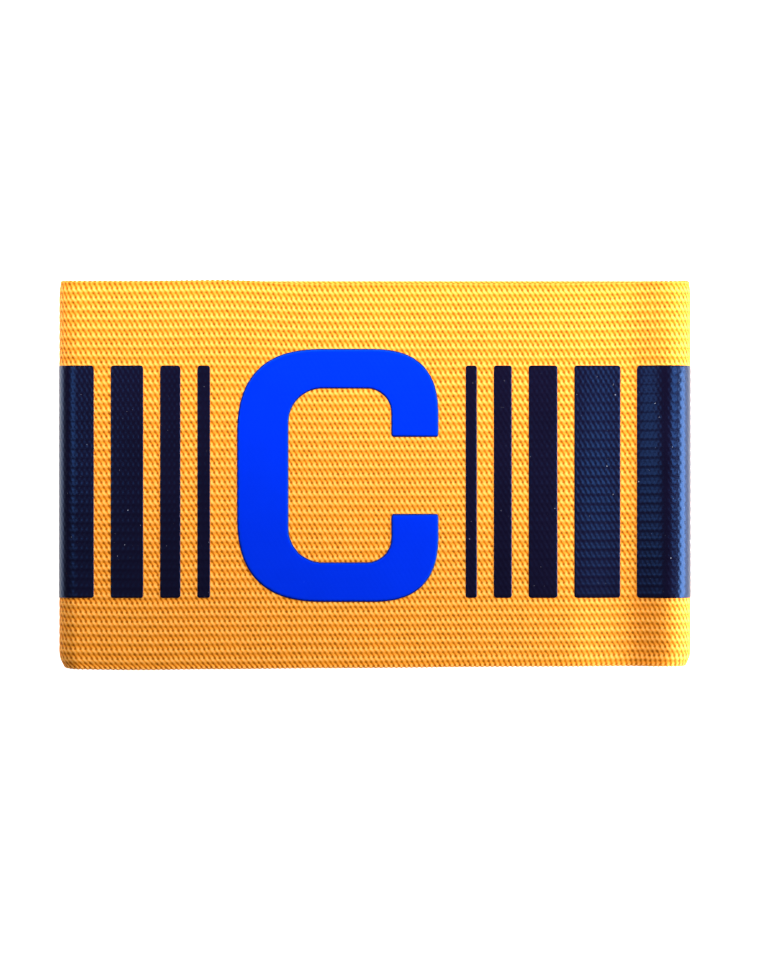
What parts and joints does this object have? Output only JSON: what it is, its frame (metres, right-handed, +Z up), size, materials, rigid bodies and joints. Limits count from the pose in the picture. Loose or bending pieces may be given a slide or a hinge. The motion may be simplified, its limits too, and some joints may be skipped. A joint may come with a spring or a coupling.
{
  "type": "captain armband",
  "caption": "Loop of ribbed knitted elastic lying flat, with a block letter C and upright film bars on its front; an arm goes through it.",
  "frame": {"origin": "on the surface that the band lies on, under the middle of its bounding box", "axes": "+X along the flat loop to the right as the letter reads, +Y across it to the letter's top, +Z up from the surface"},
  "size_m": [0.1508, 0.0924, 0.0108],
  "materials": {
    "knitted_elastic": "ribbed knitted elastic, golden yellow, soft sheen",
    "blue_film": "smooth heat-set film, satin gloss",
    "navy_film": "thin heat-set film, satin gloss, the knit showing through"
  },
  "bodies": {
    "root": {"elastic_band": "knitted_elastic", "letter_c": "blue_film", "bar_left_1": "navy_film", "bar_left_2": "navy_film", "bar_left_3": "navy_film", "bar_left_4": "navy_film", "bar_right_1": "navy_film", "bar_right_2": "navy_film", "bar_right_3": "navy_film", "bar_right_4": "navy_film", "bar_right_5": "navy_film"}
  },
  "joints": []
}
